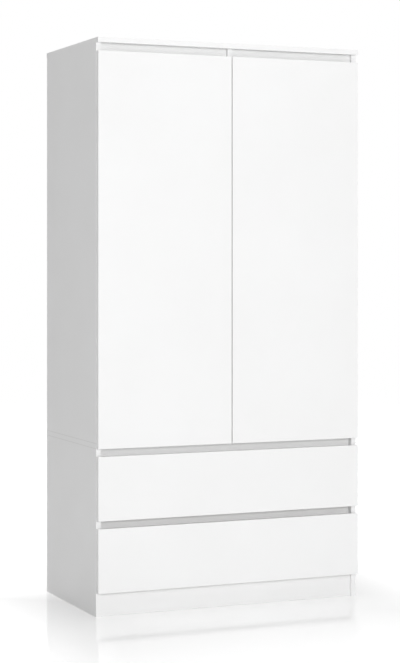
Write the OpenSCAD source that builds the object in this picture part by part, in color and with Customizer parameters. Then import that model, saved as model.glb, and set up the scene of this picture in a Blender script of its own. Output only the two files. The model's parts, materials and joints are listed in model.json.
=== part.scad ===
// Two-door wardrobe over two full-width drawers, in white melamine board.
// Origin: centre of the footprint at floor level. +Z up, doors face -Y.

/* [Cabinet] */
// Overall width
body_w = 910; // [860:10:960]
// Overall depth, door face to back panel
body_d = 500; // [460:10:560]
// Overall height
body_h = 1800; // [1760:10:1900]
// Thickness of every main board
board_t = 16; // [15:0.5:17]
// Thickness of the hardboard back and drawer bottoms
back_t = 3; // [2.5:0.5:4]

/* [Fronts] */
// Floor to the underside of the lower drawer front
plinth_h = 75; // [65:5:90]
// Height of each drawer front
drawer_front_h = 200; // [190:5:205]
// Height of the finger gap above each drawer front
finger_gap = 24; // [20:1:28]
// Height of the finger gap above the doors
top_gap = 26; // [20:1:32]
// Gap between the two doors
door_gap = 3; // [2:0.5:4]
// How far a front stops short of the cabinet's side face
side_reveal = 1; // [0.5:0.5:2]
// Air between the cabinet and the back of its fronts
front_air = 2; // [2:0.5:3]

/* [Recesses] */
// Drawer rails behind the front edges of the sides
rail_recess = 20; // [16:1:24]
// Top rails and plinth behind the front edges of the sides
plinth_recess = 10; // [8:1:14]

/* [Drawers] */
// Length of each drawer box
drawer_len = 430; // [380:10:430]
// Height of each drawer box
drawer_box_h = 144; // [120:2:144]
// Thickness of the drawer box boards
drawer_t = 12; // [12:1:15]
// Height of a drawer runner
runner_h = 35; // [30:1:40]

/* [Interior] */
// Height of the hanging rod's axis above the floor
rod_z = 1690; // [1560:10:1690]
// Outer diameter of the hanging rod
rod_dia = 25; // [22:1:28]
// Number of shelves in the right bay
shelf_count = 4; // [3:1:4]

/* [Hidden] */
$fn = 32;

// Main planes of the cabinet
half_w = body_w / 2;
face_y = -body_d / 2;
front_back_y = face_y + board_t;
edge_y = front_back_y + front_air;
back_y = body_d / 2 - back_t;
inner_w = body_w - 2 * board_t;
inner_x = inner_w / 2;
part_x = board_t / 2;

// Heights
top_z = body_h - board_t;
lower_front_z = plinth_h;
upper_front_z = lower_front_z + drawer_front_h + finger_gap;
mid_z = upper_front_z + drawer_front_h + finger_gap;
mid_top_z = mid_z + board_t;
door_z = mid_z;
door_h = top_z - top_gap - door_z;

// Rails and the fixed boards between the sides
rail_y = edge_y + rail_recess;
plinth_y = edge_y + plinth_recess;
rail_h = 60;
top_rail_h = 60;
lower_rail_h = 46;
lower_rail_z = upper_front_z - 37;

// Drawer boxes
runner_t = 12.7;
runner_sheet = 1.2;
runner_air = 1.2;
member_step = runner_sheet + runner_air;
outer_reach = 10.8;
middle_reach = 10.6;
inner_reach = 5;
runner_screw_r = 1.7;
runner_screw_len = 12;
runner_head_r = 3.2;
runner_head_h = 0.8;
box_half_w = inner_x - runner_t;
box_drop = 15;
runner_len = 400;
runner_y = front_back_y + 12;
runner_up = 60;
outer_screw_inset = 40;
inner_screw_inset = 60;
drawer_cam_ups = [36, 108];
drawer_cam_edge = 24;
drawer_cam_r = 6;
drawer_cam_depth = 9.5;
drawer_bolt_r = 2.5;
drawer_bolt_in = 11;
back_screw_r = 2;
back_screw_len = 38;
back_screw_sunk = 2.5;
back_head_r = 3.5;
back_head_h = 2;
upper_box_z = upper_front_z + box_drop;
lower_box_z = lower_front_z + box_drop;

// Shelves and rod
shelf_recess = 22;
shelf_back_air = 2;
shelf_y = edge_y + shelf_recess;
shelf_d = back_y - shelf_y - shelf_back_air;
shelf_air = 0.5;
bay_w = inner_x - part_x;
right_first_z = 780;
right_pitch = 245;
pin_r = 2.5;
pin_in = 7;
pin_out = 8;
pin_inset = 40;
rod_wall = 1;
rod_end_air = 3;
socket_floor = 2;
socket_len = 14;
socket_wall = 2.3;
socket_air = 0.2;
socket_flange_r = rod_dia / 2 + 6;

// Concealed hinges, measured in from the door's outer edge (u) and back from the door's back (v)
door_edge_x = half_w - side_reveal;
hinge_count = 3;
hinge_inset = 110;
cup_u = 22.5;
cup_r = 17.5;
cup_deep = 12;
cup_wall = 0.8;
cup_air = 0.1;
flange_t = 1;
flange_u = [cup_u - 4, cup_u + 14];
flange_z = [13, 27];
cup_screw_u = cup_u + 9.5;
cup_screw_z = 22.5;
cup_screw_r = 1.75;
cup_screw_len = 12.5;
pivot_u = 18.5;
pivot_v = 4.5;
knee_u = 35.3;
knee_v = 1.9;
tip_u = 34.9;
tip_v = -9.6;
link_t = 1.5;
link_w = 9;
eye_r = 2.4;
hinge_pin_r = 1.2;
pin_air = 0.1;
plate_t = 2;
plate_u = board_t - side_reveal;
plate_v = [24, 64];
plate_half_w = 8;
wing_v = [31, 47];
wing_half_w = 24;
plate_screw_v = 39;
plate_screw_z = 16;
plate_screw_r = 2;
plate_screw_len = 14;
arm_screw_v = 50;
arm_screw_r = 2.5;
arm_w = 14;
arm_v = [9, 62];
arm_foot_u = plate_u + plate_t;
arm_foot_v = 16;
arm_top_u = 27;
arm_sheet = 1.5;
ear_t = 2;
ear_r = 2.5;
pin_fit = 0.02;

// Soft bumpers on the back of each door's free edge
bumper_r = 3.5;
bumper_tip_r = 2.2;
bumper_foot_h = 1;
bumper_tip_h = 0.6;
bumper_inset = 40;

// Cam fittings, nails and brackets
hole_air = 0.05;
cam_r = 7.5;
cam_depth = 12.5;
cam_edge = 24;
cam_inset = 60;
cam_ys = [edge_y + cam_inset, back_y - cam_inset];
bolt_r = 3.5;
bolt_in = 7;
bolt_start = cam_edge - cam_r - 0.1;
nail_r = 0.7;
nail_head_r = 2;
nail_head = 0.6;
nail_edge_x = half_w - board_t / 2;
nail_seam = 5;
nail_row_xs = [-400 : 160 : 400];
rear_nail_z = 30;
bracket_x = 300;
bracket_w = 20;
bracket_t = 2;
bracket_drop = 60;
bracket_reach = 32;
bracket_hole_z = top_z - 42;
bracket_hole_r = 3;
bracket_screw_y = back_y - 23;
bracket_screw_r = 1.8;
bracket_screw_in = 11;
bracket_head_r = 3.6;
bracket_head_h = 2;
back_joint_z = mid_z + board_t / 2;
back_edge = 2;

// Colours
white_board = "white";
inner_white = "whitesmoke";
steel = "silver";
plastic_white = "gainsboro";

function hinge_zs() = [
    for (i = [0 : hinge_count - 1])
        door_z + hinge_inset + i * (door_h - 2 * hinge_inset) / (hinge_count - 1)
];
function shelf_zs() = [for (i = [0 : shelf_count - 1]) right_first_z + i * right_pitch];

// A board between two corners
module board(from, to) {
    translate(from) cube(to - from);
}

// Both left and right copies
module both_sides() {
    children();
    mirror([1, 0, 0]) children();
}

// The cross that a screwdriver turns, cut this deep on both sides of the origin
module cross_recess(span, width, depth) {
    for (turn = [0, 90])
        rotate([0, 0, turn]) cube([span, width, 2 * depth], center = true);
}

// A pan-head screw that points along +Z, with its head below the origin
module screw(len, shank_r, head_r, head_h) {
    rim_h = head_h / 2;
    difference() {
        union() {
            cylinder(r = shank_r, h = len, $fn = 24);
            translate([0, 0, -rim_h]) cylinder(r = head_r, h = rim_h, $fn = 24);
            translate([0, 0, -head_h])
                cylinder(r1 = 0.75 * head_r, r2 = head_r, h = head_h - rim_h, $fn = 24);
        }
        translate([0, 0, -head_h]) cross_recess(1.1 * head_r, 0.28 * head_r, 0.6 * head_h);
    }
}

// The same screw pointing along +X
module screw_x(len, shank_r, head_r, head_h) {
    rotate([0, 90, 0]) screw(len, shank_r, head_r, head_h);
}

// ---- Cabinet boards ----

module top_panel() {
    color(white_board)
        difference() {
            board([-half_w, face_y, top_z], [half_w, body_d / 2, body_h]);
            both_sides() left_bolt_holes([top_z]);
            both_sides() bracket_screw_hole();
        }
}

module upper_side_left() {
    color(white_board)
        difference() {
            board([-half_w, edge_y, mid_top_z], [-inner_x, back_y, top_z]);
            left_cam_holes(upper_cam_zs());
            at_left_hinges() plate_screw_holes();
        }
}

module upper_side_right() {
    color(white_board)
        mirror([1, 0, 0])
            difference() {
                board([-half_w, edge_y, mid_top_z], [-inner_x, back_y, top_z]);
                left_cam_holes(upper_cam_zs());
                at_left_hinges() plate_screw_holes();
                side_pin_holes(shelf_zs());
            }
}

module lower_side_left() {
    color(white_board)
        difference() {
            board([-half_w, edge_y, 0], [-inner_x, back_y, mid_z]);
            left_cam_holes(lower_cam_zs());
            for (z = runner_zs()) left_runner_screw_holes(z);
        }
}

module lower_side_right() {
    mirror([1, 0, 0]) lower_side_left();
}

module middle_board() {
    color(white_board)
        difference() {
            board([-half_w, edge_y, mid_z], [half_w, back_y, mid_top_z]);
            both_sides() left_bolt_holes([mid_z, mid_top_z]);
        }
}

module center_partition() {
    color(white_board)
        difference() {
            board([-part_x, edge_y, mid_top_z], [part_x, back_y, top_z]);
            partition_pin_holes(shelf_zs());
        }
}

module bottom_panel() {
    color(white_board)
        board([-inner_x, plinth_y + board_t, plinth_h - board_t], [inner_x, back_y, plinth_h]);
}

module plinth_front() {
    color(white_board)
        board([-inner_x, plinth_y, 0], [inner_x, plinth_y + board_t, plinth_h]);
}

module plinth_rear() {
    color(white_board)
        board([-inner_x, back_y - board_t, 0], [inner_x, back_y, plinth_h - board_t]);
}

module top_rail_left() {
    color(white_board)
        board([-inner_x, plinth_y, top_z - top_rail_h], [-part_x, plinth_y + board_t, top_z]);
}

module top_rail_right() {
    mirror([1, 0, 0]) top_rail_left();
}

module groove_rail_upper() {
    color(white_board)
        board([-inner_x, rail_y, mid_z - rail_h], [inner_x, rail_y + board_t, mid_z]);
}

module groove_rail_lower() {
    color(white_board)
        board([-inner_x, rail_y, lower_rail_z],
              [inner_x, rail_y + board_t, lower_rail_z + lower_rail_h]);
}

// ---- Hardboard back, in three sheets ----

module back_panel_upper_left() {
    color(inner_white)
        difference() {
            board([-half_w + back_edge, back_y, back_joint_z + 1], [-0.5, body_d / 2, top_z]);
            mirror([1, 0, 0]) wall_hole();
            nail_holes();
        }
}

module back_panel_upper_right() {
    mirror([1, 0, 0]) back_panel_upper_left();
}

module back_panel_lower() {
    color(inner_white)
        difference() {
            board([-half_w + back_edge, back_y, back_edge],
                  [half_w - back_edge, body_d / 2, back_joint_z - 1]);
            nail_holes();
        }
}

// ---- Shelves, pins and rod ----

module one_shelf(z) {
    board([part_x + shelf_air, shelf_y, z], [inner_x - shelf_air, shelf_y + shelf_d, z + board_t]);
}

module shelves() {
    color(white_board)
        for (z = shelf_zs()) one_shelf(z);
}

function pin_ys() = [shelf_y + pin_inset, shelf_y + shelf_d - pin_inset];

// A pin, or its hole, that starts inside a board at x and points along dir
module pin_at(x, y, z, dir, r, len) {
    translate([x, y, z - pin_r]) rotate([0, dir * 90, 0]) cylinder(r = r, h = len, $fn = 24);
}

// Four pins that carry one shelf
module pins_for(z) {
    for (y = pin_ys()) {
        pin_at(part_x - pin_in, y, z, 1, pin_r, pin_in + pin_out);
        pin_at(inner_x + pin_in, y, z, -1, pin_r, pin_in + pin_out);
    }
}

module shelf_pins() {
    color(steel)
        for (z = shelf_zs()) pins_for(z);
}

// Bored from the inner face of a left side, outwards
module side_pin_holes(zs) {
    for (z = zs, y = pin_ys())
        pin_at(-inner_x + 1, y, z, -1, pin_r + hole_air, pin_in + 1.5);
}

// Bored from the partition's right face
module partition_pin_holes(zs) {
    for (z = zs, y = pin_ys())
        pin_at(part_x + 1, y, z, -1, pin_r + hole_air, pin_in + 1.5);
}

module hanging_rod() {
    color(steel)
        translate([-inner_x + rod_end_air, 0, rod_z]) rotate([0, 90, 0])
            difference() {
                cylinder(r = rod_dia / 2, h = bay_w - 2 * rod_end_air, $fn = 48);
                translate([0, 0, -1]) cylinder(r = rod_dia / 2 - rod_wall, h = bay_w, $fn = 48);
            }
}

// A flanged cup, its mouth along +X from the board it is fixed to
module rod_socket() {
    rotate([0, 90, 0])
        difference() {
            union() {
                cylinder(r = socket_flange_r, h = socket_floor, $fn = 48);
                cylinder(r = rod_dia / 2 + socket_air + socket_wall, h = socket_len, $fn = 48);
            }
            translate([0, 0, socket_floor])
                cylinder(r = rod_dia / 2 + socket_air, h = socket_len, $fn = 48);
        }
}

module rod_sockets() {
    color(plastic_white) {
        translate([-inner_x, 0, rod_z]) rod_socket();
        translate([-part_x, 0, rod_z]) mirror([1, 0, 0]) rod_socket();
    }
}

// ---- Cam fittings, nails and wall brackets ----

// Each cam sits in the inner face of a side, cam_edge away from the joint that it pulls tight.
// An entry is [height of the joint, +1 when the cam is above it or -1 when below].
function upper_cam_zs() = [[mid_top_z, 1], [top_z, -1]];
function lower_cam_zs() = [[mid_z, -1]];

module left_cams(joints, r, depth) {
    for (j = joints, y = cam_ys)
        translate([-inner_x - depth, y, j[0] + j[1] * cam_edge])
            rotate([0, 90, 0]) cylinder(r = r, h = depth);
}

// Bolt from the cam's rim, through the side's edge and into the board beyond the joint
module left_bolts(joints) {
    for (j = joints, y = cam_ys)
        translate([-inner_x - board_t / 2, y, j[0] + j[1] * bolt_start])
            mirror([0, 0, j[1] > 0 ? 1 : 0])
                cylinder(r = bolt_r, h = bolt_start + bolt_in, $fn = 24);
}

module left_cam_holes(joints) {
    translate([1, 0, 0]) left_cams(joints, cam_r + hole_air, cam_depth + 1 + hole_air);
    for (j = joints, y = cam_ys)
        translate([-inner_x - board_t / 2, y, j[0] + j[1] * (cam_edge / 2 - 1)])
            cylinder(r = bolt_r + hole_air, h = cam_edge + 2, center = true, $fn = 24);
}

// Matching holes in a board, bored both ways from the heights given
module left_bolt_holes(zs) {
    for (z = zs, y = cam_ys)
        translate([-inner_x - board_t / 2, y, z])
            cylinder(r = bolt_r + hole_air, h = 2 * bolt_in + 1, center = true, $fn = 24);
}

// A cam with the cross recess that a screwdriver turns
module slotted_cams(joints) {
    difference() {
        left_cams(joints, cam_r, cam_depth);
        for (j = joints, y = cam_ys)
            translate([-inner_x, y, j[0] + j[1] * cam_edge])
                rotate([0, 90, 0]) cross_recess(8, 1.8, 1.5);
    }
}

module cam_locks() {
    color(steel)
        both_sides() {
            slotted_cams(upper_cam_zs());
            slotted_cams(lower_cam_zs());
        }
}

module cam_bolts() {
    color(steel)
        both_sides() {
            left_bolts(upper_cam_zs());
            left_bolts(lower_cam_zs());
        }
}

function nail_column(x, first, step, count) = [for (i = [0 : count - 1]) [x, first + i * step]];

// Places of the nails down the sides and seam and along the boards, as [x, z]
function nail_places() = [
    for (side = [-1, 1])
        each concat(
            nail_column(side * nail_edge_x, 620, 160, 8),
            nail_column(side * nail_edge_x, 90, 130, 4),
            nail_column(side * nail_seam, 700, 300, 4)
        ),
    for (x = nail_row_xs, z = [rear_nail_z, back_joint_z - nail_seam, back_joint_z + nail_seam]) [x, z]
];

module nails(shank_r, head_r, air) {
    for (p = nail_places())
        translate([p[0], body_d / 2, p[1]])
            rotate([90, 0, 0]) {
                translate([0, 0, -air]) cylinder(r = head_r, h = nail_head + air, $fn = 16);
                cylinder(r = shank_r, h = back_t, $fn = 16);
            }
}

module back_nails() {
    color(steel) nails(nail_r, nail_head_r, 0);
}

module nail_holes() {
    nails(nail_r + hole_air, nail_head_r + hole_air, 1);
}

module one_bracket() {
    difference() {
        union() {
            board([bracket_x - bracket_w / 2, back_y - bracket_t, top_z - bracket_drop],
                  [bracket_x + bracket_w / 2, back_y, top_z]);
            board([bracket_x - bracket_w / 2, back_y - bracket_reach, top_z - bracket_t],
                  [bracket_x + bracket_w / 2, back_y, top_z]);
        }
        wall_hole();
        bracket_screw_hole();
    }
}

module wall_brackets() {
    color(steel) both_sides() one_bracket();
}

// Clearance hole for a screw into the room's wall
module wall_hole() {
    translate([bracket_x, back_y - 10, bracket_hole_z])
        rotate([-90, 0, 0]) cylinder(r = bracket_hole_r, h = 20);
}

// Places children at a bracket's screw, where it enters the top panel
module at_bracket_screw() {
    translate([bracket_x, bracket_screw_y, top_z - bracket_t]) children();
}

module bracket_screw_hole() {
    at_bracket_screw()
        translate([0, 0, -1])
            cylinder(r = bracket_screw_r + hole_air, h = bracket_t + bracket_screw_in + 2, $fn = 24);
}

module wall_bracket_screws() {
    color(steel)
        both_sides() at_bracket_screw()
            screw(bracket_t + bracket_screw_in, bracket_screw_r, bracket_head_r, bracket_head_h);
}

// ---- Concealed hinges ----

// Places children at each left hinge: X is u, Y is v, Z is up from the hinge's middle
module at_left_hinges() {
    for (z = hinge_zs()) translate([-door_edge_x, front_back_y, z]) children();
}

// Two-sided form for parts that both doors share
module at_all_hinges() {
    both_sides() at_left_hinges() children();
}

module plate_screw_holes() {
    for (z = [-1, 1])
        translate([arm_foot_u + 1, plate_screw_v, z * plate_screw_z])
            rotate([0, -90, 0])
                cylinder(r = plate_screw_r + hole_air, h = plate_screw_len + 2, $fn = 24);
}

// Hole for the screw that holds an arm to its plate
module arm_screw_hole() {
    translate([arm_top_u + 1, arm_screw_v, 0])
        rotate([0, -90, 0]) cylinder(r = arm_screw_r + hole_air, h = arm_top_u - plate_u + 2, $fn = 24);
}

module one_plate() {
    difference() {
        union() {
            board([plate_u, plate_v[0], -plate_half_w], [arm_foot_u, plate_v[1], plate_half_w]);
            board([plate_u, wing_v[0], -wing_half_w], [arm_foot_u, wing_v[1], wing_half_w]);
        }
        plate_screw_holes();
        arm_screw_hole();
    }
}

module hinge_plates() {
    color(steel) at_all_hinges() one_plate();
}

module hinge_plate_screws() {
    color(steel)
        at_all_hinges() {
            for (z = [-1, 1])
                translate([arm_foot_u, plate_screw_v, z * plate_screw_z])
                    mirror([1, 0, 0]) screw_x(plate_screw_len, plate_screw_r, 4, 1.8);
            translate([arm_top_u, arm_screw_v, 0])
                mirror([1, 0, 0]) screw_x(arm_top_u - plate_u - 0.5, arm_screw_r, 4.2, 2);
        }
}

// Channel with two ears that carry the pin
module one_arm() {
    difference() {
        union() {
            board([arm_top_u - arm_sheet, arm_v[0], -arm_w / 2], [arm_top_u, arm_v[1], arm_w / 2]);
            for (z = [-arm_w / 2, arm_w / 2 - ear_t]) translate([0, 0, z]) arm_ear();
        }
        translate([pivot_u, pivot_v, 0])
            cylinder(r = hinge_pin_r + pin_fit, h = 2 * arm_w, center = true);
        arm_screw_hole();
    }
}

module arm_ear() {
    linear_extrude(ear_t)
        polygon([
            [pivot_u - ear_r, pivot_v], [arm_foot_u, arm_foot_v], [arm_foot_u, arm_v[1]],
            [arm_top_u, arm_v[1]], [arm_top_u, arm_v[0]], [pivot_u + ear_r, pivot_v]
        ]);
    translate([pivot_u, pivot_v, 0]) cylinder(r = ear_r, h = ear_t);
}

module hinge_arms() {
    color(steel) at_all_hinges() one_arm();
}

module hinge_pins() {
    color(steel)
        at_all_hinges()
            translate([pivot_u, pivot_v, 0]) cylinder(r = hinge_pin_r, h = arm_w, center = true);
}

function unit(v) = v / norm(v);
function left_of(v) = [-v[1], v[0]];

// Outline of a bent strip through three points, mitred at the middle one
function bent_strip(a, b, c, half) =
    let (
        n1 = left_of(unit(b - a)),
        n2 = left_of(unit(c - b)),
        m = (n1 + n2) / (1 + n1 * n2)
    )
    [a + half * n1, b + half * m, c + half * n2, c - half * n2, b - half * m, a - half * n1];

module one_link() {
    difference() {
        union() {
            translate([pivot_u, pivot_v, 0]) cylinder(r = eye_r, h = link_w, center = true);
            linear_extrude(link_w, center = true)
                polygon(bent_strip([pivot_u, pivot_v], [knee_u, knee_v], [tip_u, tip_v],
                                   link_t / 2));
        }
        translate([pivot_u, pivot_v, 0])
            cylinder(r = hinge_pin_r + pin_air, h = 2 * link_w, center = true);
    }
}

module left_hinge_links() {
    color(steel) at_left_hinges() one_link();
}

module right_hinge_links() {
    mirror([1, 0, 0]) left_hinge_links();
}

// Places children at a cup's screws, pointing into the door
module at_cup_screws() {
    for (z = [-1, 1])
        translate([cup_screw_u, flange_t, z * cup_screw_z]) rotate([90, 0, 0]) children();
}

module cup_screw_holes() {
    at_cup_screws()
        translate([0, 0, -1]) cylinder(r = cup_screw_r + hole_air, h = cup_screw_len + 2, $fn = 24);
}

// A round pocket for a cup, bored into the door from just behind its back
module cup_pocket(r, depth) {
    translate([cup_u, 1, 0]) rotate([90, 0, 0]) cylinder(r = r, h = depth + 1, $fn = 64);
}

module one_cup() {
    shell_r = cup_r - cup_air;
    difference() {
        union() {
            rotate([90, 0, 0])
                translate([cup_u, 0, 0]) cylinder(r = shell_r, h = cup_deep - cup_air, $fn = 64);
            for (side = [0, 1])
                mirror([0, 0, side])
                    board([flange_u[0], 0, flange_z[0]], [flange_u[1], flange_t, flange_z[1]]);
        }
        cup_pocket(shell_r - cup_wall, cup_deep - 1);
        cup_screw_holes();
    }
}

module left_hinge_cups() {
    color(steel) at_left_hinges() one_cup();
}

module right_hinge_cups() {
    mirror([1, 0, 0]) left_hinge_cups();
}

module left_cup_screws() {
    color(steel)
        at_left_hinges() at_cup_screws() screw(cup_screw_len, cup_screw_r, 3.6, 1.6);
}

module right_cup_screws() {
    mirror([1, 0, 0]) left_cup_screws();
}

// ---- Doors ----

module left_door() {
    color(white_board)
        difference() {
            board([-door_edge_x, face_y, door_z], [-door_gap / 2, front_back_y, door_z + door_h]);
            at_left_hinges() {
                cup_pocket(cup_r, cup_deep);
                cup_screw_holes();
            }
        }
}

module right_door() {
    mirror([1, 0, 0]) left_door();
}

module left_door_bumpers() {
    color(plastic_white)
        for (z = [door_z + bumper_inset, door_z + door_h - bumper_inset])
            translate([-door_gap / 2 - bumper_r - 1, front_back_y, z])
                rotate([-90, 0, 0]) {
                    cylinder(r = bumper_r, h = bumper_foot_h);
                    translate([0, 0, bumper_foot_h])
                        cylinder(r1 = bumper_r, r2 = bumper_tip_r, h = bumper_tip_h);
                }
}

module right_door_bumpers() {
    mirror([1, 0, 0]) left_door_bumpers();
}

// ---- Drawer runners, in three telescoping members ----

function box_zs() = [lower_front_z + box_drop, upper_front_z + box_drop];
function runner_zs() = [for (z = box_zs()) z + runner_up];

// A channel of sheet metal along Y. Its web stands at web_x and its flanges reach from there to x1.
module channel(web_x, x1, half_h) {
    low_x = min(web_x, x1);
    web_low_x = web_x < x1 ? web_x : web_x - runner_sheet;
    translate([0, runner_y, 0]) {
        translate([web_low_x, 0, -half_h]) cube([runner_sheet, runner_len, 2 * half_h]);
        for (z = [-half_h, half_h - runner_sheet])
            translate([low_x, 0, z]) cube([abs(x1 - web_x), runner_len, runner_sheet]);
    }
}

// Places children on the left side's inner face at a runner's axis, with +X into the drawer space
module at_left_runner(z) {
    translate([-inner_x, 0, z]) children();
}

function runner_screw_ys(inset) = [runner_y + inset, runner_y + runner_len - inset];

module left_runner_screw_holes(z) {
    at_left_runner(z)
        for (y = runner_screw_ys(outer_screw_inset))
            translate([2, y, 0])
                rotate([0, -90, 0])
                    cylinder(r = runner_screw_r + hole_air, h = runner_screw_len + 1.5, $fn = 24);
}

module runners_outer() {
    color(steel)
        both_sides()
            for (z = runner_zs())
                difference() {
                    at_left_runner(z) channel(0, outer_reach, runner_h / 2);
                    left_runner_screw_holes(z);
                }
}

module runner_screws() {
    color(steel)
        both_sides()
            for (z = runner_zs(), y = runner_screw_ys(outer_screw_inset))
                at_left_runner(z)
                    translate([runner_sheet, y, 0]) mirror([1, 0, 0]) runner_screw();
}

module runner_screw() {
    screw_x(runner_screw_len, runner_screw_r, runner_head_r, runner_head_h);
}

module middle_members(z) {
    color(steel)
        both_sides()
            at_left_runner(z) channel(2 * runner_sheet, middle_reach, runner_h / 2 - member_step);
}

module inner_members(z) {
    color(steel)
        both_sides()
            difference() {
                at_left_runner(z) channel(runner_t, inner_reach, runner_h / 2 - 2 * member_step);
                inner_screw_holes(z);
            }
}

module inner_screw_holes(z) {
    at_left_runner(z)
        for (y = runner_screw_ys(inner_screw_inset))
            translate([runner_t - 3, y, 0])
                rotate([0, 90, 0])
                    cylinder(r = runner_screw_r + hole_air, h = runner_screw_len + 2.3, $fn = 24);
}

// ---- Drawers ----

module drawer_front(z) {
    color(white_board)
        difference() {
            board([-door_edge_x, face_y, z], [door_edge_x, front_back_y, z + drawer_front_h]);
            both_sides() front_bolts(z + box_drop, hole_air);
        }
}

// Bolts that hold a drawer side to its front
module front_bolts(z, air) {
    start = drawer_cam_edge - drawer_cam_r - 0.1;
    for (up = drawer_cam_ups)
        translate([-box_half_w + drawer_t / 2, front_back_y + start, z + up])
            rotate([90, 0, 0])
                cylinder(r = drawer_bolt_r + air, h = start + drawer_bolt_in + air, $fn = 24);
}

// Places children at the mouths of a drawer side's cam bores, pointing outwards
module at_drawer_cams(z) {
    for (up = drawer_cam_ups)
        translate([-box_half_w + drawer_t, front_back_y + drawer_cam_edge, z + up])
            rotate([0, -90, 0]) children();
}

module drawer_cam() {
    difference() {
        cylinder(r = drawer_cam_r, h = drawer_cam_depth, $fn = 24);
        cross_recess(7, 1.5, 1.5);
    }
}

module drawer_cam_bore() {
    translate([0, 0, -1])
        cylinder(r = drawer_cam_r + hole_air, h = drawer_cam_depth + 1 + hole_air, $fn = 24);
}

// Places children where a screw through a drawer side seats its head, pointing into the drawer's back
module at_back_screws(z) {
    for (up = drawer_cam_ups)
        translate([-box_half_w + back_screw_sunk, front_back_y + drawer_len - drawer_t / 2, z + up])
            rotate([0, 90, 0]) children();
}

module back_screw() {
    screw(back_screw_len, back_screw_r, back_head_r, back_head_h);
}

module back_screw_bore() {
    cylinder(r = back_screw_r + hole_air, h = back_screw_len + hole_air, $fn = 24);
    translate([0, 0, -back_screw_sunk - 1])
        cylinder(r = back_head_r + hole_air, h = back_screw_sunk + 1, $fn = 24);
}

module drawer_sides(z) {
    color(white_board)
        both_sides()
            difference() {
                board([-box_half_w, front_back_y, z + back_t],
                      [-box_half_w + drawer_t, front_back_y + drawer_len, z + drawer_box_h]);
                front_bolts(z, hole_air);
                at_drawer_cams(z) drawer_cam_bore();
                at_back_screws(z) back_screw_bore();
                inner_screw_holes(z + runner_up);
            }
}

module drawer_back(z) {
    color(white_board)
        difference() {
            board([-box_half_w + drawer_t, front_back_y + drawer_len - drawer_t, z + back_t],
                  [box_half_w - drawer_t, front_back_y + drawer_len, z + drawer_box_h]);
            both_sides() at_back_screws(z) back_screw_bore();
        }
}

module drawer_bottom(z) {
    color(inner_white)
        board([-box_half_w, front_back_y, z], [box_half_w, front_back_y + drawer_len, z + back_t]);
}

module drawer_screws(z) {
    color(steel)
        both_sides() {
            front_bolts(z, 0);
            at_drawer_cams(z) drawer_cam();
            at_back_screws(z) back_screw();
            for (y = runner_screw_ys(inner_screw_inset))
                at_left_runner(z + runner_up)
                    translate([runner_t - runner_sheet, y, 0]) runner_screw();
        }
}

module upper_drawer_front() { drawer_front(upper_front_z); }
module upper_drawer_sides() { drawer_sides(upper_box_z); }
module upper_drawer_back() { drawer_back(upper_box_z); }
module upper_drawer_bottom() { drawer_bottom(upper_box_z); }
module upper_drawer_screws() { drawer_screws(upper_box_z); }
module upper_runners_inner() { inner_members(upper_box_z + runner_up); }
module upper_runners_middle() { middle_members(upper_box_z + runner_up); }
module lower_drawer_front() { drawer_front(lower_front_z); }
module lower_drawer_sides() { drawer_sides(lower_box_z); }
module lower_drawer_back() { drawer_back(lower_box_z); }
module lower_drawer_bottom() { drawer_bottom(lower_box_z); }
module lower_drawer_screws() { drawer_screws(lower_box_z); }
module lower_runners_inner() { inner_members(lower_box_z + runner_up); }
module lower_runners_middle() { middle_members(lower_box_z + runner_up); }

top_panel();
upper_side_left();
upper_side_right();
lower_side_left();
lower_side_right();
middle_board();
center_partition();
bottom_panel();
plinth_front();
plinth_rear();
top_rail_left();
top_rail_right();
groove_rail_upper();
groove_rail_lower();
back_panel_upper_left();
back_panel_upper_right();
back_panel_lower();
shelves();
shelf_pins();
hanging_rod();
rod_sockets();
cam_locks();
cam_bolts();
back_nails();
wall_brackets();
wall_bracket_screws();
hinge_plates();
hinge_plate_screws();
hinge_arms();
hinge_pins();
runners_outer();
runner_screws();
left_door();
left_hinge_cups();
left_cup_screws();
left_door_bumpers();
right_door();
right_hinge_cups();
right_cup_screws();
right_door_bumpers();
left_hinge_links();
right_hinge_links();
upper_drawer_front();
upper_drawer_sides();
upper_drawer_back();
upper_drawer_bottom();
upper_drawer_screws();
upper_runners_inner();
upper_runners_middle();
lower_drawer_front();
lower_drawer_sides();
lower_drawer_back();
lower_drawer_bottom();
lower_drawer_screws();
lower_runners_inner();
lower_runners_middle();
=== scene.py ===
"""Looks for the two-door wardrobe: camera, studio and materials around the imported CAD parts.

Every visible piece is a CAD node. This script gives the nodes rounded edges and procedural
materials. Lengths are in metres and colours are linear.
"""
import json
import math

import bpy
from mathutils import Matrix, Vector


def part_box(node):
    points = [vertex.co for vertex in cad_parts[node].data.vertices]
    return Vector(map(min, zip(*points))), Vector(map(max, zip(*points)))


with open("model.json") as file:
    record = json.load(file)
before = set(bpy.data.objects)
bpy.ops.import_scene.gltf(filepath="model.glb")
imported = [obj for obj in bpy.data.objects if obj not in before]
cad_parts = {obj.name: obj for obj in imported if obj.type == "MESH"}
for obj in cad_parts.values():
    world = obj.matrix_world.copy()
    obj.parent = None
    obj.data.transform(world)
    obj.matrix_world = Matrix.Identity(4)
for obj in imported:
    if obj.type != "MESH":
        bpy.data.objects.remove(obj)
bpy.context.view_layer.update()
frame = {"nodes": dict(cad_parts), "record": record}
nodes = frame["nodes"]

MM = 0.001
OPAQUE_WHITE = (1, 1, 1, 1)

# ---------------------------------------------------------------- camera

EYE = (-2.3718, -5.4966, 1.1154)
YAW = math.radians(23.305)   # how far the camera is turned to the right
SENSOR = 36.0                # mm, along the longer side of the frame
LENS = 97.906                # mm
SHIFT = -0.11101             # of the longer side; lowers the view while the camera stays level
CLIP_END = 100.0


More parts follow.
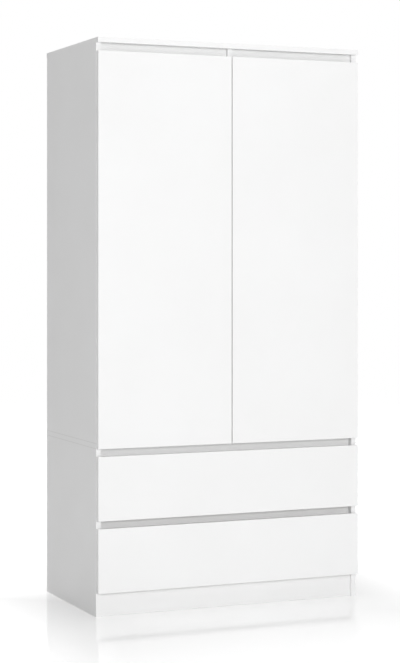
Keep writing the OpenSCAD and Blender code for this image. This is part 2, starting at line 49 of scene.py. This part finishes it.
def make_camera():
    """A level camera, a little left of the wardrobe, with the frame shifted down."""
    data = bpy.data.cameras.new("camera")
    data.sensor_width = SENSOR
    data.lens = LENS
    data.shift_y = SHIFT
    data.clip_end = CLIP_END
    camera = bpy.data.objects.new("camera", data)
    camera.location = EYE
    camera.rotation_euler = (math.radians(90), 0, -YAW)
    bpy.context.scene.collection.objects.link(camera)
    bpy.context.scene.camera = camera


# ---------------------------------------------------------------- shader helpers

NOISE_BAND = (0.3, 0.7)      # most of a noise's values lie here
EDGE_DOT = (0.995, 0.80)     # rounded normal against true normal: flat, and fully an edge
EDGE_SAMPLES = 4


class Shader:
    """A small builder for one material's nodes."""

    def __init__(self, name):
        self.material = bpy.data.materials.new(name)
        self.material.use_nodes = True
        self.tree = self.material.node_tree
        self.bsdf = self.tree.nodes["Principled BSDF"]

    def node(self, kind, **settings):
        made = self.tree.nodes.new(kind)
        for key, value in settings.items():
            setattr(made, key, value)
        return made

    def link(self, source, target):
        self.tree.links.new(source, target)

    def coords(self, scale=(1, 1, 1)):
        """Object coordinates in metres, stretched by scale."""
        texture = self.node("ShaderNodeTexCoord")
        mapping = self.node("ShaderNodeMapping")
        mapping.inputs["Scale"].default_value = scale
        self.link(texture.outputs["Object"], mapping.inputs["Vector"])
        return mapping.outputs["Vector"]

    def xyz(self, vector):
        """The three outputs of a split vector, by the names X, Y and Z."""
        split = self.node("ShaderNodeSeparateXYZ")
        self.link(vector, split.inputs[0])
        return split.outputs

    def noise(self, vector, scale, detail=2.0, rough=0.5):
        """Noise with about scale features to the metre."""
        made = self.node("ShaderNodeTexNoise")
        made.inputs["Scale"].default_value = scale
        made.inputs["Detail"].default_value = detail
        made.inputs["Roughness"].default_value = rough
        self.link(vector, made.inputs["Vector"])
        return made.outputs["Fac"]

    def ramp(self, value, low, high, to_low=0.0, to_high=1.0, kind="LINEAR"):
        """value from low..high, clamped, becomes to_low..to_high."""
        made = self.node("ShaderNodeMapRange", interpolation_type=kind)
        made.inputs["From Min"].default_value = low
        made.inputs["From Max"].default_value = high
        made.inputs["To Min"].default_value = to_low
        made.inputs["To Max"].default_value = to_high
        self.link(value, made.inputs["Value"])
        return made.outputs["Result"]

    def spread(self, noise, to_low=0.0, to_high=1.0):
        """The middle band of a noise becomes to_low..to_high."""
        return self.ramp(noise, *NOISE_BAND, to_low, to_high)

    def math(self, operation, a, b=0.0):
        made = self.node("ShaderNodeMath", operation=operation)
        for socket, value in zip(made.inputs, (a, b)):
            if isinstance(value, (int, float)):
                socket.default_value = value
            else:
                self.link(value, socket)
        return made.outputs["Value"]

    def mix(self, factor, a, b):
        """Colour a where factor is 0 and b where it is 1."""
        made = self.node("ShaderNodeMix", data_type="RGBA")
        self.link(factor, made.inputs[0])
        sockets = [s for s in made.inputs if s.type == "RGBA"]
        for socket, value in zip(sockets, (a, b)):
            if isinstance(value, tuple):
                socket.default_value = value + (1.0,)
            else:
                self.link(value, socket)
        return [s for s in made.outputs if s.type == "RGBA"][0]

    def tones(self, noise, first, second):
        """A drift between two colours by the middle band of a noise."""
        return self.mix(self.spread(noise), first, second)

    def bump(self, height, distance, strength=1.0, before=None):
        made = self.node("ShaderNodeBump")
        made.inputs["Strength"].default_value = strength
        made.inputs["Distance"].default_value = distance
        self.link(height, made.inputs["Height"])
        if before is not None:
            self.link(before, made.inputs["Normal"])
        return made.outputs["Normal"]

    def screen_pattern(self, pitch):
        """A woven-wire imprint: a product of sines, from -1 to 1, on faces square to Y or Z."""
        place = self.xyz(self.coords())
        upright = self.math("ADD", place["Y"], place["Z"])
        turn = 2 * math.pi / pitch
        across = self.math("SINE", self.math("MULTIPLY", place["X"], turn))
        along = self.math("SINE", self.math("MULTIPLY", upright, turn))
        return self.math("MULTIPLY", across, along)

    def edge_mask(self, radius):
        """About 1 on rounded edges and 0 on flats."""
        bevel = self.node("ShaderNodeBevel", samples=EDGE_SAMPLES)
        bevel.inputs["Radius"].default_value = radius
        geometry = self.node("ShaderNodeNewGeometry")
        dot = self.node("ShaderNodeVectorMath", operation="DOT_PRODUCT")
        self.link(bevel.outputs["Normal"], dot.inputs[0])
        self.link(geometry.outputs["Normal"], dot.inputs[1])
        return self.ramp(dot.outputs["Value"], *EDGE_DOT)

    def set(self, **values):
        """Uniform values, straight on the shader's own sockets."""
        for key, value in values.items():
            self.bsdf.inputs[key.replace("_", " ")].default_value = value

    def drive(self, **sources):
        """Links from node outputs to the shader's sockets."""
        for key, source in sources.items():
            self.link(source, self.bsdf.inputs[key.replace("_", " ")])


# ---------------------------------------------------------------- white boards

BOARD_TONES = ((0.905, 0.905, 0.903), (0.925, 0.926, 0.926))
BOARD_SPECK = (0.80, 0.80, 0.795)
BOARD_WORN = (0.79, 0.788, 0.775)
BOARD_ROUGHNESS = (0.30, 0.40)
SPECK_BAND = (0.72, 0.80)    # only the peaks of the noise
SPECK_AMOUNT = 0.18
WEAR_BAND = (0.42, 0.72)
WEAR_AMOUNT = (0.05, 0.5)    # of the worn colour on an edge, least and most
WEAR_WIDTH = 1.2 * MM
PEEL_HEIGHT = 0.03 * MM
FINE_HEIGHT = 0.004 * MM
PLASTIC_IOR = 1.5

# Painted shade: a darker hairline on the outer sides where the boards meet, in place of the
# shade in the crease between them.
JOINT_SHADE_TONE = (0.40, 0.39, 0.37)
JOINT_SHADE_AMOUNT = 0.30
JOINT_SHADE_REACH = (0.9 * MM, 0.5 * MM)   # away from the joint: none, and full
JOINT_SHADE_DEPTH = (1.2 * MM, 0.6 * MM)   # in from the outer face: none, and full


def joint_shade_mask(s, at, heights, half_width):
    """About 1 in the hairline where two boards meet on the outer sides of the carcass: the mask
    of a painted shade line that stands in for the shade in the crease between the boards.
    """
    place = s.xyz(at)
    starts, full = (half_width - depth for depth in JOINT_SHADE_DEPTH)
    on_the_side = s.ramp(s.math("ABSOLUTE", place["X"]), starts, full)
    line = 0.0
    for height in heights:
        away = s.math("ABSOLUTE", s.math("SUBTRACT", place["Z"], height))
        line = s.math("MAXIMUM", s.ramp(away, *JOINT_SHADE_REACH), line)
    return s.math("MULTIPLY", line, on_the_side)


def melamine(name, joint_heights=(), half_width=0.0):
    """White melamine face: satin, faint orange peel, a slightly worn edge, and, where joint
    heights are given, a painted shade line at the board joints.
    """
    s = Shader(name)
    at = s.coords()
    cloud = s.noise(at, 3.0, detail=3.0)
    peel = s.noise(at, 900.0, detail=2.0, rough=0.6)
    fine = s.noise(at, 4200.0, detail=1.0)
    base = s.tones(cloud, *BOARD_TONES)
    speck = s.ramp(s.noise(at, 260.0, detail=4.0, rough=0.7), *SPECK_BAND)
    base = s.mix(s.math("MULTIPLY", speck, SPECK_AMOUNT), base, BOARD_SPECK)
    edges = s.edge_mask(WEAR_WIDTH)
    wear = s.ramp(s.noise(at, 35.0, detail=3.0), *WEAR_BAND, *WEAR_AMOUNT)
    base = s.mix(s.math("MULTIPLY", edges, wear), base, BOARD_WORN)
    if joint_heights:
        # Painted shade in the crease where the boards meet.
        seam_shade = joint_shade_mask(s, at, joint_heights, half_width)
        base = s.mix(s.math("MULTIPLY", seam_shade, JOINT_SHADE_AMOUNT), base, JOINT_SHADE_TONE)
    s.drive(
        Base_Color=base,
        Roughness=s.spread(s.noise(at, 14.0, detail=4.0, rough=0.6), *BOARD_ROUGHNESS),
        Normal=s.bump(fine, FINE_HEIGHT, 0.5, s.bump(peel, PEEL_HEIGHT, 0.5)),
    )
    s.set(IOR=PLASTIC_IOR)
    return s.material


# ---------------------------------------------------------------- hardboard

FIBRE_TONES = ((0.235, 0.138, 0.072), (0.40, 0.257, 0.15))
FLAKE_TONE = (0.29, 0.172, 0.095)
FLAKE_BAND = (0.45, 0.75)
FLAKE_AMOUNT = 0.5
BLOTCH_TONE = (0.215, 0.13, 0.072)
BLOTCH_BAND = (0.38, 0.66)
BLOTCH_AMOUNT = 0.65
LACQUER_TONES = ((0.86, 0.86, 0.85), (0.89, 0.89, 0.885))
LACQUER_PIT = (0.74, 0.73, 0.70)
PIT_BAND = (0.62, 0.78)
PIT_AMOUNT = 0.3
LACQUER_FACING = (-0.6, -0.8)   # normal along the brown side: brown to here, and white from here
BROWN_ROUGHNESS = 0.78
LACQUER_ROUGHNESS = 0.42
SCREEN_PITCH = 1.6 * MM
SCREEN_HEIGHT = 0.12 * MM
FIBRE_HEIGHT = 0.08 * MM
HARDBOARD_BUMP = 0.6


def hardboard(name, normal_axis, brown_side):
    """Thin hardboard: white lacquer on one face, brown fibre on the other and on the edges.

    The brown face looks along normal_axis, forwards if brown_side is 1 and backwards if -1.
    """
    s = Shader(name)
    at = s.coords()
    fibre = s.noise(s.coords((1, 1, 0.35)), 900.0, detail=5.0, rough=0.7)
    flake = s.noise(at, 120.0, detail=4.0, rough=0.65)
    blotch = s.noise(s.coords((1, 1, 0.5)), 5.0, detail=5.0, rough=0.6)
    brown = s.tones(fibre, *FIBRE_TONES)
    brown = s.mix(s.ramp(flake, *FLAKE_BAND, 0.0, FLAKE_AMOUNT), brown, FLAKE_TONE)
    brown = s.mix(s.ramp(blotch, *BLOTCH_BAND, 0.0, BLOTCH_AMOUNT), brown, BLOTCH_TONE)
    white = s.tones(s.noise(at, 5.0, detail=3.0), *LACQUER_TONES)
    pits = s.ramp(s.noise(at, 700.0, detail=3.0), *PIT_BAND, 0.0, PIT_AMOUNT)
    white = s.mix(pits, white, LACQUER_PIT)
    normal = s.xyz(s.node("ShaderNodeTexCoord").outputs["Normal"])
    facing = s.math("MULTIPLY", normal[normal_axis], brown_side)
    is_white = s.ramp(facing, *LACQUER_FACING)
    is_brown = s.ramp(is_white, 0.0, 1.0, 1.0, 0.0)
    screen = s.math("MULTIPLY", s.screen_pattern(SCREEN_PITCH), is_brown)
    pressed = s.bump(screen, SCREEN_HEIGHT, HARDBOARD_BUMP)
    s.drive(
        Base_Color=s.mix(is_white, brown, white),
        Roughness=s.ramp(is_white, 0.0, 1.0, BROWN_ROUGHNESS, LACQUER_ROUGHNESS),
        Normal=s.bump(fibre, FIBRE_HEIGHT, HARDBOARD_BUMP, pressed),
    )
    return s.material


# ---------------------------------------------------------------- metals

STEEL_TONE = (0.70, 0.70, 0.71)
STEEL_DARK = tuple(0.80 * t for t in STEEL_TONE)
STEEL_EDGE = (0.88, 0.88, 0.88)
STEEL_EDGE_WIDTH = 0.4 * MM
STEEL_EDGE_AMOUNT = 0.6
STEEL_SMUDGE_BAND = (0.3, 0.75)
STEEL_ROUGHNESS = (0.24, 0.38)
STEEL_LINE_ROUGHNESS = (-0.05, 0.05)
STEEL_LINE_STRETCH = (60, 60, 900)
STEEL_LINE_HEIGHT = 0.01 * MM

ZINC_TONES = ((0.46, 0.46, 0.47), (0.62, 0.62, 0.63))
ZINC_ROUGHNESS = (0.42, 0.6)
ZINC_GRAIN_HEIGHT = 0.05 * MM

CHROME_TONES = ((0.80, 0.80, 0.81), (0.72, 0.72, 0.74))
CHROME_HAZE_BAND = (0.3, 0.8)
CHROME_HAZE_ROUGHNESS = (0.0, 0.08)
CHROME_HAIR_BAND = (0.35, 0.75)
CHROME_HAIR_ROUGHNESS = (0.05, 0.20)
CHROME_HAIR_STRETCH = (30, 2600, 2600)
CHROME_HAIR_HEIGHT = 0.004 * MM


def plated_steel():
    """Zinc or nickel plated pressing: faint draw lines, smudges and a brighter edge."""
    s = Shader("plated_steel")
    lines = s.noise(s.coords(STEEL_LINE_STRETCH), 1.0, detail=3.0, rough=0.6)
    smudge = s.noise(s.coords(), 90.0, detail=4.0, rough=0.6)
    base = s.mix(s.ramp(smudge, *STEEL_SMUDGE_BAND), STEEL_TONE, STEEL_DARK)
    edges = s.math("MULTIPLY", s.edge_mask(STEEL_EDGE_WIDTH), STEEL_EDGE_AMOUNT)
    base = s.mix(edges, base, STEEL_EDGE)
    smudge_roughness = s.spread(smudge, *STEEL_ROUGHNESS)
    line_roughness = s.spread(lines, *STEEL_LINE_ROUGHNESS)
    s.drive(
        Base_Color=base,
        Roughness=s.math("ADD", smudge_roughness, line_roughness),
        Normal=s.bump(lines, STEEL_LINE_HEIGHT, 0.4),
    )
    s.set(Metallic=1.0)
    return s.material


def cast_zinc():
    """Die-cast zinc: grainy, dull, a little darker in its pits."""
    s = Shader("cast_zinc")
    at = s.coords()
    grain = s.noise(at, 1600.0, detail=4.0, rough=0.7)
    s.drive(
        Base_Color=s.tones(grain, *ZINC_TONES),
        Roughness=s.spread(s.noise(at, 300.0, detail=3.0), *ZINC_ROUGHNESS),
        Normal=s.bump(grain, ZINC_GRAIN_HEIGHT, 0.6),
    )
    s.set(Metallic=1.0)
    return s.material


def chrome():
    """Polished tube with hairline scratches along it."""
    s = Shader("chrome")
    hair = s.noise(s.coords(CHROME_HAIR_STRETCH), 1.0, detail=3.0, rough=0.7)
    haze = s.noise(s.coords(), 40.0, detail=4.0, rough=0.6)
    base = s.mix(s.ramp(haze, *CHROME_HAZE_BAND), *CHROME_TONES)
    hair_roughness = s.ramp(hair, *CHROME_HAIR_BAND, *CHROME_HAIR_ROUGHNESS)
    haze_roughness = s.ramp(haze, *CHROME_HAZE_BAND, *CHROME_HAZE_ROUGHNESS)
    s.drive(
        Base_Color=base,
        Roughness=s.math("ADD", hair_roughness, haze_roughness),
        Normal=s.bump(hair, CHROME_HAIR_HEIGHT, 0.3),
    )
    s.set(Metallic=1.0)
    return s.material


# ---------------------------------------------------------------- plastics

NYLON_TONE = (0.86, 0.86, 0.85)
BUMPER_TONE = (0.9, 0.9, 0.9)
BUMPER_TRANSMISSION = 0.7
PLASTIC_DARKER = 0.94
PLASTIC_ROUGHNESS = (0.34, 0.5)
PLASTIC_GRAIN_HEIGHT = 0.03 * MM


def moulded_plastic(name, tone, see_through=0.0):
    """Moulded plastic: fine spark-eroded texture and soft colour drift."""
    s = Shader(name)
    at = s.coords()
    grain = s.noise(at, 2600.0, detail=3.0, rough=0.6)
    drift = s.noise(at, 70.0, detail=3.0)
    darker = tuple(PLASTIC_DARKER * t for t in tone)
    s.drive(
        Base_Color=s.tones(drift, tone, darker),
        Roughness=s.spread(grain, *PLASTIC_ROUGHNESS),
        Normal=s.bump(grain, PLASTIC_GRAIN_HEIGHT, 0.5),
    )
    s.set(IOR=PLASTIC_IOR, Transmission_Weight=see_through)
    return s.material


# ---------------------------------------------------------------- studio floor

FLOOR_RADIUS = 8.5
FLOOR_SIDES = 96
FLOOR_TONES = ((0.90, 0.90, 0.90), (0.92, 0.92, 0.92))
FLOOR_ROUGHNESS = (0.09, 0.11)
FLOOR_RIPPLE_HEIGHT = 0.02 * MM
FLOOR_IOR = 1.45
FLOOR_FADE = (3.0, 8.0)         # from the middle: where it starts to fade, and is gone

# The floor glows a little, and less just in front of the plinth: the glow is painted light that
# also lights the wardrobe, and its dim patch is a painted contact shadow.
FLOOR_GLOW_FRONT = 0.130
FLOOR_GLOW_BESIDE = 0.42
FLOOR_GLOW_BOUNCE = 0.25        # share of the glow that lights the wardrobe
BESIDE = (0.40, 0.90)           # distance to the left or right: dim, and full glow
AHEAD = (-0.45, -0.95)          # y: dim, and AHEAD_GLOW
AHEAD_GLOW = 0.4                # of the way from the dim to the full glow
BEYOND = (-0.95, -2.60)         # y: dim, and full glow
BEHIND = (0.0, 0.40)            # y: dim, and full glow


def floor_material():
    """Pale glossy studio floor that fades out to the backdrop far from the object, with a
    painted glow and a painted contact shadow in front of the plinth.
    """
    s = Shader("studio_floor")
    at = s.coords()
    s.drive(
        Base_Color=s.tones(s.noise(at, 0.7), *FLOOR_TONES),
        Roughness=s.spread(s.noise(at, 2.0), *FLOOR_ROUGHNESS),
        Normal=s.bump(s.noise(at, 40.0, detail=1.0), FLOOR_RIPPLE_HEIGHT, 0.15),
    )
    length = s.node("ShaderNodeVectorMath", operation="LENGTH")
    s.link(at, length.inputs[0])
    place = s.xyz(at)
    beside = s.ramp(s.math("ABSOLUTE", place["X"]), *BESIDE, kind="SMOOTHSTEP")
    ahead = s.ramp(place["Y"], *AHEAD, 0.0, AHEAD_GLOW)
    beyond = s.ramp(place["Y"], *BEYOND)
    behind = s.ramp(place["Y"], *BEHIND, kind="SMOOTHSTEP")
    around = s.math("MAXIMUM", beside, behind)
    glow = s.math("MAXIMUM", around, s.math("MAXIMUM", ahead, beyond))
    bounced = s.node("ShaderNodeLightPath").outputs["Is Diffuse Ray"]
    share = s.ramp(bounced, 0.0, 1.0, 1.0, FLOOR_GLOW_BOUNCE)
    # Dim glow near the plinth: a painted contact shadow on the floor.
    seen = s.ramp(glow, 0.0, 1.0, FLOOR_GLOW_FRONT, FLOOR_GLOW_BESIDE)
    s.drive(
        Alpha=s.ramp(length.outputs["Value"], *FLOOR_FADE, 1.0, 0.0),
        Emission_Strength=s.math("MULTIPLY", seen, share),
    )
    s.set(IOR=FLOOR_IOR, Emission_Color=OPAQUE_WHITE)
    return s.material


def make_floor():
    bpy.ops.mesh.primitive_circle_add(
        vertices=FLOOR_SIDES, radius=FLOOR_RADIUS, fill_type="NGON"
    )
    floor = bpy.context.object
    floor.name = "floor"
    floor.data.materials.append(floor_material())


# ---------------------------------------------------------------- studio light

WHITE_BACKDROP = 1.0
AMBIENT = 0.235
MIDDLE = (0, 0, 0.9)
# name, place, aim, width and height, watts
LIGHTS = (
    ("key_softbox", (-1.1, -7.5, 1.8), MIDDLE, (2.0, 2.0), 191),
    ("high_left_softbox", (-3.5, -6.0, 3.0), MIDDLE, (2.0, 2.0), 35),
    ("high_right_softbox", (0.3, -8.0, 3.0), MIDDLE, (3.0, 2.2), 55),
    ("top_softbox", (0, -0.6, 4.6), (0, -0.4, 0), (6.0, 6.0), 105),
)


def make_world():
    """White to look at and in reflections, and a softer grey as fill light."""
    scene = bpy.context.scene
    scene.view_settings.view_transform = "Standard"
    world = bpy.data.worlds.new("studio")
    scene.world = world
    world.use_nodes = True
    tree = world.node_tree
    background = tree.nodes["Background"]
    path = tree.nodes.new("ShaderNodeLightPath")
    seen = tree.nodes.new("ShaderNodeMath")
    seen.operation = "MAXIMUM"
    tree.links.new(path.outputs["Is Camera Ray"], seen.inputs[0])
    tree.links.new(path.outputs["Is Glossy Ray"], seen.inputs[1])
    strength = tree.nodes.new("ShaderNodeMapRange")
    strength.inputs["To Min"].default_value = AMBIENT
    strength.inputs["To Max"].default_value = WHITE_BACKDROP
    tree.links.new(seen.outputs[0], strength.inputs["Value"])
    background.inputs["Color"].default_value = OPAQUE_WHITE
    tree.links.new(strength.outputs["Result"], background.inputs["Strength"])


def area_light(name, place, target, size, power):
    """A soft box that is seen neither directly nor in reflections."""
    data = bpy.data.lights.new(name, "AREA")
    data.shape = "RECTANGLE"
    data.size, data.size_y = size
    data.energy = power
    lamp = bpy.data.objects.new(name, data)
    lamp.location = place
    aim = Vector(target) - Vector(place)
    lamp.rotation_euler = aim.to_track_quat("-Z", "Y").to_euler()
    lamp.visible_camera = False
    lamp.visible_glossy = False
    bpy.context.scene.collection.objects.link(lamp)


def make_studio():
    make_world()
    for light in LIGHTS:
        area_light(*light)
    make_floor()


# ---------------------------------------------------------------- finishing the CAD parts

BOARD_EDGE = 0.7 * MM
HARDBOARD_EDGE = 0.2 * MM
PRESSING_EDGE = 0.12 * MM
EDGE_SEGMENTS = 2
SHARP_ANGLE = math.radians(40)
WELD_DISTANCE = 0.002 * MM


def slot_nodes(slot):
    return [p["node"] for p in frame["record"]["subparts"] if p["material_slot"] == slot]


def dress(names, material):
    for name in names:
        data = nodes[name].data
        data.materials.clear()
        data.materials.append(material)


def soften(names, width):
    """Welds the imported mesh and rounds its sharp edges a little."""
    for name in names:
        part = nodes[name]
        weld = part.modifiers.new("weld", "WELD")
        weld.merge_threshold = WELD_DISTANCE
        bevel = part.modifiers.new("bevel", "BEVEL")
        bevel.width = width
        bevel.segments = EDGE_SEGMENTS
        bevel.limit_method = "ANGLE"
        bevel.angle_limit = SHARP_ANGLE
        bevel.harden_normals = True


def finish_boards():
    boards = slot_nodes("white_board")
    dress(boards, melamine("white_melamine"))
    low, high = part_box("middle_board")
    sides = [n for n in boards if n.startswith(("upper_side", "lower_side"))]
    # The sides and the middle board get the painted shade line at their joints.
    dress(["middle_board"] + sides, melamine("melamine_painted_joint_shade", (low.z, high.z), high.x))
    soften(boards, BOARD_EDGE)


def finish_hardboard():
    sheets = slot_nodes("hardboard")
    backs = [n for n in sheets if n.startswith("back_panel")]
    bottoms = [n for n in sheets if n.endswith("bottom")]
    dress(backs, hardboard("back_hardboard", "Y", 1.0))
    dress(bottoms, hardboard("bottom_hardboard", "Z", -1.0))
    soften(backs + bottoms, HARDBOARD_EDGE)


def finish_fittings():
    steel = slot_nodes("plated_steel")
    dress(steel, plated_steel())
    dress(slot_nodes("rod_chrome"), chrome())
    dress(slot_nodes("zinc"), cast_zinc())
    dress(["rod_sockets"], moulded_plastic("white_nylon", NYLON_TONE))
    bumper = moulded_plastic("clear_bumper", BUMPER_TONE, BUMPER_TRANSMISSION)
    dress(["left_door_bumpers", "right_door_bumpers"], bumper)
    soften(steel, PRESSING_EDGE)


make_camera()
make_studio()
finish_boards()
finish_hardboard()
finish_fittings()
